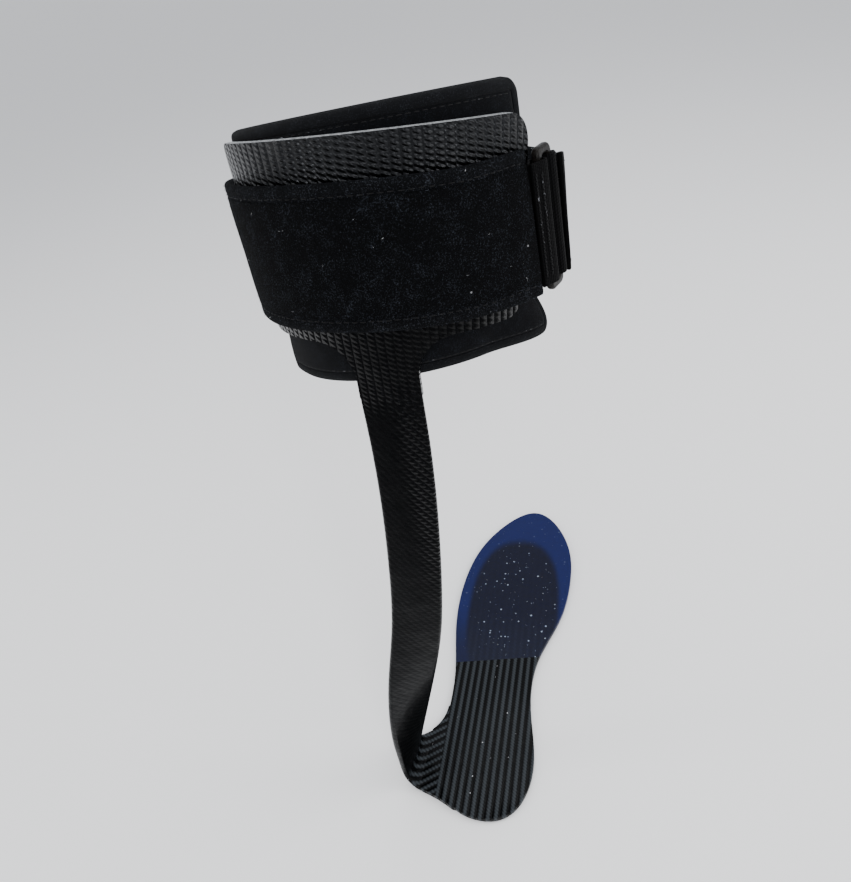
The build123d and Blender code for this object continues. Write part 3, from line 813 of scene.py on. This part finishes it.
# %% Thread
def make_thread():
    paint, tree, shader = finish_material("thread")
    place = object_place(tree)
    x, _, z = split_place(tree, place)
    twist = use_group(tree, corded_cloth, Across=x, Along=z, Pitch=0.3, Twist=0.4, Slant=1.0, Knot=0.5)
    chance = noise_node(tree, place, 0.35, 2.0, 0.5)
    linty = between(tree, chance, 0.62, 0.74)
    colour = blend_colour(tree, linty, (0.003, 0.003, 0.0035), (0.16, 0.165, 0.18))
    strands = times(tree, twist.outputs["Crest"], 0.15)
    colour = blend_colour(tree, strands, colour, (0.05, 0.05, 0.055))
    tree.links.new(colour, shader.inputs["Base Color"])
    shader.inputs["Roughness"].default_value = 0.6
    shader.inputs["Specular IOR Level"].default_value = 0.15
    bump_from(tree, shader, twist.outputs["Height"], 0.0001, 0.6)
    return paint


thread = make_thread()
print("thread ready")

# %% [markdown]
# The strap is swept along its path as one soft band. Its face is puffed a little between the
# two bindings, and it wavers slightly along its length, because foam and cloth are never even.

# %% Strap face and lining
FACE_HALF, STRAP_HALF, STRAP_THICK = 21.5, 27.0, 2.9
END_HALF = 23.5                    # the strap's half width where it goes under the tab
FACE_THICK, FACE_OUT = 2.1, 0.38   # loops and foam, and how far out their middle lies
LINING_THICK, LINING_IN = 0.6, 1.1
TUCK = 0.3                         # the face and the lining reach this far under the bindings


def narrow(angle):
    """How much the strap's half width has shrunk at an angle."""
    return (STRAP_HALF - END_HALF) * ease((BAND_FIRST + 52 - angle) / 46)


def face_outline(angle, length):
    half = FACE_HALF - narrow(angle) + TUCK
    outline = band_section(half, FACE_THICK, 0.5, 0.25, 22)
    return [(w, d + FACE_OUT + (0.16 * ripple(length, w) if d > 0 else 0)) for w, d in outline]


def lining_outline(angle, length):
    half = FACE_HALF - narrow(angle) + TUCK
    return [(w, d - LINING_IN) for w, d in band_section(half, LINING_THICK, 0.2, 0.0, 8)]


strap_face = strap_piece("strap_face", BAND_FIRST, BAND_LAST, face_outline)
strap_face.data.materials.append(loop_pile)
strap_inner = strap_piece("strap_inner", BAND_FIRST, BAND_LAST, lining_outline, 3.0)
strap_inner.data.materials.append(strap_inner_cloth)
print("strap face has", len(strap_face.data.polygons), "faces")

# %% [markdown]
# Each long edge of the strap is bound with a folded tape. The tape bulges between its stitch
# row and the edge, and stands a little proud of the face.

# %% Bindings
BINDING_HALF = 2.85
SEAM_IN = 4.45                     # from the strap's edge to its stitch row
PINCH_AT, PINCH_WIDE, PINCH_DEEP = 1.55, 0.55, 0.35


def rounded(value, power):
    """A sine or cosine made squarer by a power under 1, with its sign kept."""
    return abs(value) ** power * (1 if value > 0 else -1)


def binding_outline(side):
    def outline(angle, length):
        centre = side * (STRAP_HALF - BINDING_HALF - narrow(angle))
        swell = 0.14 * ripple(length * 1.7, 3.0 * side, 4.0)
        shape = []
        for n in range(22):
            a = 2 * math.pi * n / 22
            w = BINDING_HALF * rounded(math.cos(a), 0.7)
            d = (STRAP_THICK / 2 + 0.12 + swell) * rounded(math.sin(a), 0.6)
            near_seam = math.exp(-((w * side + PINCH_AT) / PINCH_WIDE) ** 2)
            pinch = PINCH_DEEP * near_seam if d > 0 else 0
            shape.append((centre + w, d - pinch))
        return shape
    return outline


bindings = []
for name, side in (("strap_upper_binding", 1), ("strap_lower_binding", -1)):
    piece = strap_piece(name, BAND_FIRST, BAND_LAST, binding_outline(side), 1.3)
    piece.data.materials.append(binding_tape)
    bindings.append(piece)
print("bindings", [len(piece.data.polygons) for piece in bindings])

# %% [markdown]
# A stitch is a short piece of thread with rounded ends that dips into the cloth. One small
# shape is copied along every seam, with the same spacing that a sewing machine gives.

# %% Stitches
def stitch_shape(length, radius):
    points, faces, sides = [], [], 6
    stations = (-0.5, 0.35), (-0.38, 0.85), (0, 1.0), (0.38, 0.85), (0.5, 0.35)
    for t, r in stations:
        lift = -1.2 * radius * (2 * t) ** 2
        for k in range(sides):
            a = 2 * math.pi * k / sides
            points.append((length * t, radius * r * math.cos(a), lift + radius * r * math.sin(a)))
    for i in range(len(stations) - 1):
        a, b = i * sides, (i + 1) * sides
        for k in range(sides):
            m = (k + 1) % sides
            faces.append((a + k, a + m, b + m, b + k))
    faces.append(tuple(range(sides - 1, -1, -1)))
    faces.append(tuple(range(len(points) - sides, len(points))))
    return points, faces


STITCH_LONG, STITCH_GAP, THREAD_RADIUS = 2.3, 3.3, 0.2
FACES_PER_STITCH = 26


def seam_on_strap(name, across_at, depth, first, last):
    """A row of stitches between two angles; across_at(angle) is its place across the strap."""
    frames, angle = [], first
    while angle < last:
        origin, along, across, out = strap_place(angle)
        stray = random.uniform(-0.12, 0.12)
        frames.append((origin + across * (across_at(angle) + stray) + out * depth, along, across, out))
        angle += math.degrees(STITCH_GAP / (SHELL_RADIUS + 3))
    piece = scatter(name, *stitch_shape(STITCH_LONG, THREAD_RADIUS), frames)
    piece.data.materials.append(thread)
    return piece


def seam_across(side):
    return lambda angle: side * (STRAP_HALF - SEAM_IN - narrow(angle))


SEAM_OUT, SEAM_FIRST, SEAM_LAST = 1.42, BAND_FIRST + 2, BAND_LAST - 1
upper_seam = seam_on_strap("strap_upper_stitches", seam_across(1), SEAM_OUT, SEAM_FIRST, SEAM_LAST)
lower_seam = seam_on_strap("strap_lower_stitches", seam_across(-1), SEAM_OUT, SEAM_FIRST, SEAM_LAST)
print("stitches", [len(seam.data.polygons) // FACES_PER_STITCH for seam in (upper_seam, lower_seam)])

# %% [markdown]
# Worn loop cloth grows a fuzz: fine fibres that stand off the face and the bindings and catch
# the light along every outline. They are thin bent blades, seeded so each run is the same.

# %% Fuzz and lint
def fibre_shape():
    foot = [(-0.045, 0, 0), (0.045, 0, 0)]
    bend = [(0.035, 0.28, 0.42), (-0.035, 0.28, 0.42)]
    tip = [(0.0, 0.75, 0.62)]
    return foot + bend + tip, [(0, 1, 2, 3), (3, 2, 4)]


EDGE_ROUND = 1.2       # the binding curves down over this last stretch of the width


def fuzz_on_strap(name, count, low, high, depth, paint, length=1.0):
    """Fibres set at random between two places across the strap."""
    frames = []
    for _ in range(count):
        angle = random.uniform(BAND_FIRST + 1, BAND_LAST - 0.5)
        origin, along, across, out = strap_place(angle)
        half = STRAP_HALF - narrow(angle)
        w = max(min(random.uniform(low, high), half), -half)
        turn = random.uniform(0, 2 * math.pi)
        size = length * random.uniform(0.5, 1.3)
        x = along * math.cos(turn) + across * math.sin(turn)
        y = across * math.cos(turn) - along * math.sin(turn)
        tilt = random.uniform(-0.5, 0.6)
        z = (out + x * tilt).normalized()
        edge = 1 - min(1, max(0, (abs(w) - (half - EDGE_ROUND)) / EDGE_ROUND)) ** 2
        root = origin + across * w + out * (depth * math.sqrt(max(edge, 0.02)) - 0.1)
        frames.append((root, x * size, y * size, z * size))
    piece = scatter(name, *fibre_shape(), frames)
    piece.data.materials.append(paint)
    return piece


def make_fibre(name, dark, light):
    paint, tree, shader = finish_material(name)
    tint = noise_node(tree, object_place(tree), 0.9, 2.0)
    colour = blend_colour(tree, between(tree, tint, 0.4, 0.7), dark, light)
    tree.links.new(colour, shader.inputs["Base Color"])
    shader.inputs["Roughness"].default_value = 0.7
    shader.inputs["Specular IOR Level"].default_value = 0.1
    bump_from(tree, shader, tint, 0.0001, 0.3)
    return paint


dark_fibre = make_fibre("dark_fibre", (0.002, 0.0023, 0.003), (0.06, 0.068, 0.085))
pale_fibre = make_fibre("pale_fibre", (0.3, 0.31, 0.33), (0.7, 0.71, 0.73))
face_fuzz = fuzz_on_strap("strap_face_fuzz", 5200, -21, 21, 1.7, dark_fibre, 0.8)
edge_fuzz = fuzz_on_strap("strap_edge_fuzz", 1700, 21, 27, 1.5, dark_fibre)
low_fuzz = fuzz_on_strap("strap_low_fuzz", 1500, -27, -21, 1.5, dark_fibre)
lint = fuzz_on_strap("strap_lint", 46, -26, 26, 1.7, pale_fibre, 1.3)
print("fibres", len(face_fuzz.data.polygons) // 2)

# %% [markdown]
# The calf pad is a flat foam sheet with cloth on both faces and taped edges, cut with rounded
# corners and wrapped into the shell a little crooked. Its height is a grid over that cut. Where
# nothing holds it, at its ends and below the shell, it swells and springs outwards.

# %% Calf pad
PAD_OUT, PAD_THICK, PAD_RADIUS = -3.7, 6.0, 57.0
PAD_SKEW = math.tan(deg(4.6))                  # the pad sits a little crooked
PAD_TALL, PAD_LOW = 98, -50                    # height of the cut and the slope of its lower edge
PAD_LEFT, PAD_RIGHT = deg(-69.5), deg(74)
LEFT_LEAN, RIGHT_LEAN = math.tan(deg(2)), math.tan(deg(15))
LOW_CORNER, HIGH_CORNER = 14.0, 6.0
ROLL_WIDE, TAPE_WIDE = 2.6, 4.6                # the rounded edge, and the tape's stitched line


def pad_ends(t):
    """Left and right end of the pad at a height, as arcs, with rounded corners."""
    slope = PAD_LOW + PAD_TALL * t
    left = PAD_LEFT * PAD_RADIUS + slope * LEFT_LEAN
    right_end = PAD_RIGHT * PAD_RADIUS - slope * RIGHT_LEAN
    trim = 0.0
    for gap, radius in ((t * PAD_TALL, LOW_CORNER), ((1 - t) * PAD_TALL, HIGH_CORNER)):
        if gap < radius:
            trim = radius - math.sqrt(max(0.0, radius ** 2 - (radius - gap) ** 2))
    return left + trim, right_end - trim


def pad_point(s, t, face):
    """A place on the pad: s round from left to right, t upwards, both from 0 to 1.
    Face is 1 for the side against the shell and -1 for the side against the leg."""
    left, right_end = pad_ends(t)
    arc = left + (right_end - left) * s
    angle = arc / PAD_RADIUS
    turned = math.degrees(angle)
    rise = PAD_RADIUS * math.sin(angle) * PAD_SKEW
    slope = (-50.4 + 98.9 * t) + rise
    side_gap = min(s, 1 - s) * (right_end - left)
    edge_gap = min(side_gap, t * PAD_TALL, (1 - t) * PAD_TALL)
    soft = math.sqrt(max(0.0, 1 - (1 - min(1, edge_gap / ROLL_WIDE)) ** 2))
    tape = 0.5 * math.exp(-((edge_gap - TAPE_WIDE) / 0.7) ** 2)
    swell = 0.35 * ripple(arc * 1.3, slope, 2.0) * min(1, edge_gap / 8)
    full, wavy = (0.92, 0.3) if face > 0 else (0.97, 0.8)
    half = (PAD_THICK / 2 - tape) * soft * full + swell * wavy * soft
    free_low = ease((-26 - (slope - rise * 0.5)) / 20)
    flare = 8.0 * free_low * ease((turned - 46) / 36) + 1.0 * free_low * ease((-50 - turned) / 18)
    middle = PAD_OUT - PAD_THICK / 2 + flare
    origin = cone_place(turned, slope, middle + half * face)[0]
    return origin, (arc, slope, edge_gap)


def crowded(count, share):
    """Steps from 0 to 1, with a share of them drawn towards both ends."""
    spread = []
    for n in range(count + 1):
        drawn = 0.5 - 0.5 * math.cos(math.pi * n / count)
        spread.append((1 - share) * n / count + share * drawn)
    return spread


def make_pad():
    across, upward = 150, 96
    rounds, rises = crowded(across, 0.4), crowded(upward, 0.5)
    points, flat, faces = [], [], []
    for face in (1, -1):
        for t in rises:
            for s in rounds:
                spot, mark = pad_point(s, t, face)
                points.append(spot)
                flat.append(mark)
    row, sheet = across + 1, (across + 1) * (upward + 1)
    for j in range(upward):
        for i in range(across):
            a = j * row + i
            faces.append((a, a + 1, a + 1 + row, a + row))
            faces.append((sheet + a, sheet + a + row, sheet + a + 1 + row, sheet + a + 1))
    piece = new_piece("calf_pad", points, faces, flat)
    fix_normals(piece, weld=0.02 * MM)
    return piece


calf_pad = make_pad()


def make_pad_finish():
    paint, tree, shader = finish_material("pad_finish")
    place = object_place(tree)
    flat = flat_place(tree)
    gap = split_place(tree, flat)[2]
    nap = use_group(tree, soft_nap, Place=place, Size=2.4)
    lint = use_group(tree, dust_specks, Place=place, Spacing=8.0, Reach=0.13)
    cloth = blend_colour(tree, nap.outputs["Shade"], (0.002, 0.0022, 0.0028), (0.014, 0.016, 0.021))
    on_tape = between(tree, gap, 4.0, 4.4, 1.0, 0.0)
    tape = blend_colour(tree, nap.outputs["Shade"], (0.004, 0.0043, 0.005), (0.02, 0.0215, 0.026))
    colour = blend_colour(tree, on_tape, cloth, tape)
    colour = blend_colour(tree, times(tree, lint.outputs["Mask"], 0.75), colour, (0.5, 0.5, 0.52))
    tree.links.new(colour, shader.inputs["Base Color"])
    shader.inputs["Roughness"].default_value = 0.92
    shader.inputs["Specular IOR Level"].default_value = 0.05
    shader.inputs["Sheen Weight"].default_value = 0.02
    shader.inputs["Sheen Roughness"].default_value = 0.5
    groove = between(tree, math_node(tree, "ABSOLUTE", minus(tree, gap, TAPE_WIDE)), 0.0, 0.5)
    bump_from(tree, shader, plus(tree, times(tree, nap.outputs["Height"], 0.4), groove), 0.0004)
    return paint


calf_pad.data.materials.append(make_pad_finish())
print("pad faces", len(calf_pad.data.polygons))

# %% [markdown]
# One row of stitches holds the tape all round the pad, on both faces. The spots are laid out on
# the flat cut and each stitch is turned to lie along its seam, however the pad is bent there.

# %% Pad stitches
ROW_IN_HEIGHT, ROW_IN_ROUND = 5.3 / 98, 5.3 / 152      # the row's distance from the edges
LONG_ROW, SHORT_ROW = 44, 22


def pad_row_spots():
    spots = []
    for n in range(LONG_ROW):
        s = ROW_IN_ROUND + 0.02 + (1 - 2 * ROW_IN_ROUND - 0.04) * n / (LONG_ROW - 1)
        spots += [(s, ROW_IN_HEIGHT), (s, 1 - ROW_IN_HEIGHT)]
    for n in range(SHORT_ROW):
        t = 0.12 + 0.76 * n / (SHORT_ROW - 1)
        spots += [(ROW_IN_ROUND, t), (1 - ROW_IN_ROUND, t)]
    return spots


def pad_seam(name, face):
    frames = []
    for s, t in pad_row_spots():
        level = t in (ROW_IN_HEIGHT, 1 - ROW_IN_HEIGHT)
        here = pad_point(s, t, face)[0]
        step_round, step_up = pad_point(s + 0.004, t, face)[0], pad_point(s, t + 0.006, face)[0]
        there, aside = (step_round, step_up) if level else (step_up, step_round)
        along, side = (there - here).normalized(), (aside - here).normalized()
        out = along.cross(side).normalized()
        if out.dot(cone_place(math.degrees((s - 0.48) * 2.5), 0, 0)[3]) * face < 0:
            out = -out
        frames.append((here + out * 0.05, along, out.cross(along), out))
    piece = scatter(name, *stitch_shape(2.2, THREAD_RADIUS), frames)
    piece.data.materials.append(thread)
    return piece


pad_outer_stitches = pad_seam("pad_outer_stitches", 1)
pad_inner_stitches = pad_seam("pad_inner_stitches", -1)
print("stitches on each face of the pad", len(pad_row_spots()))

# %% [markdown]
# At the ring the strap ends in sewn webbing. One loop holds the rear bar, a second fold holds
# the front bar, and the tab lies back over the front run. Each is one ribbon that follows a path.

# %% Webbing at the ring
def ribbon(name, path, across, cloth_seed):
    """Closed webbing along a path of (place, outward direction) pairs."""
    rings, flat, length, before = [], [], 0.0, None
    for place, out in path:
        length += (place - before).length if before else 0
        before = place
        ring = []
        for w, d in band_section(WEB_HALF, WEB_THICK, 0.45, 0.0, 12):
            wave = 0.1 * ripple(length * 2.2, w, cloth_seed)
            ring.append(place + across * w + out * (d + wave))
            flat.append((length, w, d))
        rings.append(ring)
    piece = skin(name, rings, flat)
    piece.data.materials.append(webbing)
    return piece


WEB_HALF, WEB_THICK = 23.0, 1.35
ring_at, ring_round, ring_up, ring_out = strap_place(RING_ANGLE)
BAR_OFFSET, BAR_RADIUS = 4.5, 1.86         # the two upright bars of the ring
WEB_MIDDLE = 0.75                          # from a web's inner face to its middle
LOOP_REACH, FOLD_REACH = BAR_RADIUS + 0.4 + WEB_MIDDLE, BAR_RADIUS + 0.12 + WEB_MIDDLE


def bar_loop(bar, reach, turn_from, turn_to, before, after):
    """Path round a bar, with (offset, depth) pairs before and after the turn."""
    spots = list(before)
    for n in range(19):
        a = deg(turn_from + (turn_to - turn_from) * n / 18)
        spots.append((bar + reach * math.cos(a), reach * math.sin(a)))
    spots += after
    places = [ring_at + ring_round * offset + ring_out * depth for offset, depth in spots]
    path = []
    for n, place in enumerate(places):
        ahead = places[min(n + 1, len(places) - 1)] - places[max(n - 1, 0)]
        path.append((place, ahead.normalized().cross(ring_up)))
    return path


outer_tail = [(-11.6, 0.35), (-10.0, 0.9), (-8.2, 1.7), (-6.6, 2.5)]
inner_tail = [(-6.6, -2.5), (-8.2, -1.7), (-10.0, -1.2), (-11.4, -0.9)]
loop_path = bar_loop(-BAR_OFFSET, LOOP_REACH, 100, -100, outer_tail, inner_tail)
loop_path = [(place, -out) for place, out in loop_path]
ring_webbing = ribbon("ring_webbing", loop_path, ring_up, 1.0)
fold_tails = [(8.0, 1.3), (6.6, 2.2)], [(6.6, -2.3), (8.0, -1.4)]
fold_path = bar_loop(BAR_OFFSET, FOLD_REACH, 82, 278, *fold_tails)
fold_webbing = ribbon("fold_webbing", fold_path, ring_up, 2.0)
print("webbing round both bars", len(ring_webbing.data.polygons), len(fold_webbing.data.polygons))

# %% [markdown]
# Two bar tacks close the sewn loop. A bar tack is a dense zigzag, so its stitches step from
# side to side of a line and run up the width of the web.

# %% Loop bar tacks
TACK_STITCHES, TACK_HALF, TACK_STEP = 40, 18.6, 0.3
tack_frames = []
for offset, depth in ((-10.2, 1.75), (-7.6, 2.95)):
    for n in range(TACK_STITCHES):
        w = -TACK_HALF + 2 * TACK_HALF * n / (TACK_STITCHES - 1)
        zigzag = TACK_STEP if n % 2 else -TACK_STEP
        spot = ring_at + ring_round * (offset + zigzag) + ring_out * depth + ring_up * w
        tack_frames.append((spot, ring_up, -ring_round, ring_out))
loop_stitches = scatter("loop_stitches", *stitch_shape(1.5, THREAD_RADIUS), tack_frames)
loop_stitches.data.materials.append(thread)
print("bar tacks", len(tack_frames))

# %% [markdown]
# The closing tab is hook-backed webbing with a stiff grip sewn on its end, a little wider than
# the web is thick, so that fingers can find it.

# %% Closing tab
TAB_START, TAB_REACH, GRIP_REACH = RING_ANGLE + 8.7 - 360, 62.0, 8     # degrees round the strap
TAB_END = TAB_START + TAB_REACH
TAB_IN = STRAP_THICK / 2 + 0.3 + 0.7       # the strap's face, the gap and the hook patch
TAB_THICK, GRIP_THICK = 1.7, 2.5
MM_PER_DEGREE = 1.12
TAB_SEAM_AT = 19.5


def tab_outline(angle, length):
    shape = []
    for w, d in band_section(WEB_HALF, TAB_THICK, 0.5, 0.12, 14):
        wave = 0.12 * ripple(length * 1.4, w, 5) if d > 0 else 0
        shape.append((w, TAB_IN + 0.9 + d + wave))
    return shape


def grip_outline(angle, length):
    into = (TAB_END + GRIP_REACH - angle) * MM_PER_DEGREE
    corner = 4.0 - math.sqrt(max(0.0, 16 - (4 - min(4, into)) ** 2))
    thick = GRIP_THICK * math.sqrt(max(0.05, min(1, into / 1.2)))
    section = band_section(WEB_HALF - corner, thick, 0.8, 0.1, 14)
    return [(w, TAB_IN + 0.95 + d) for w, d in section]


closing_tab = strap_piece("closing_tab_web", TAB_START, TAB_END + 0.2, tab_outline, 1.2)
closing_tab.data.materials.append(webbing)
tab_grip = strap_piece("tab_grip_end", TAB_END - 0.2, TAB_END + GRIP_REACH - 0.05, grip_outline, 0.35)
tab_grip.data.materials.append(edge_tape)
tab_seams = []
for name, place in (("tab_upper_stitches", TAB_SEAM_AT), ("tab_lower_stitches", -TAB_SEAM_AT)):
    tab_seams.append(seam_on_strap(name, lambda a, w=place: w, TAB_IN + 1.85, TAB_START + 2, TAB_END - 1))
print("closing tab length", round(strap_length(TAB_START, TAB_END + GRIP_REACH, TAB_IN), 4))

# %% [markdown]
# Last, every piece is listed with what it rides on and the finish it takes, and is attached to that body;
# the CAD pieces they replace are hidden.
# The flat lengths the cloth was cut to are worked out.

# %% Bodies, hidden CAD pieces and cut lengths
for piece, body, slot in (
    (strap_face, "frame", "loop_pile"), (strap_inner, "frame", "strap_lining"),
    (bindings[0], "frame", "edge_tape"), (bindings[1], "frame", "edge_tape"),
    (upper_seam, "frame", "thread"), (lower_seam, "frame", "thread"),
    (face_fuzz, "frame", "loop_pile"),
    (edge_fuzz, "frame", "edge_tape"), (low_fuzz, "frame", "edge_tape"),
    (lint, "frame", "thread"), (calf_pad, "pad", "pad_fabric"),
    (pad_outer_stitches, "pad", "thread"), (pad_inner_stitches, "pad", "thread"),
    (ring_webbing, "frame", "webbing"), (loop_stitches, "frame", "thread"),
    (fold_webbing, "ring", "webbing"), (closing_tab, "tab", "webbing"), (tab_grip, "tab", "webbing"),
    (tab_seams[0], "tab", "thread"), (tab_seams[1], "tab", "thread"),
):
    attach(piece, body)

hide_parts("strap_foam", "strap_pile")
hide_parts("strap_lining")
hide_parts("strap_top_binding")
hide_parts("strap_bottom_binding")
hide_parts("pad_backing", "pad_foam", "pad_lining", "pad_edge_tape")
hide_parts("ring_loop")
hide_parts("loop_bar_tacks")
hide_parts("front_fold")
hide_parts("closing_tab")
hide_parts("tab_grip")

strap_cut = strap_length(BAND_FIRST, BAND_LAST, 0.4)
tab_cut = strap_length(TAB_START, TAB_END, TAB_IN + 0.9)
loop_cut = sum((b[0] - a[0]).length for a, b in zip(loop_path, loop_path[1:])) * MM
fold_cut = sum((b[0] - a[0]).length for a, b in zip(fold_path, fold_path[1:])) * MM
cuts = {"strap": strap_cut, "tab": tab_cut, "loop": loop_cut, "fold": fold_cut}
print("cuts in metres", {name: round(cut, 4) for name, cut in cuts.items()})
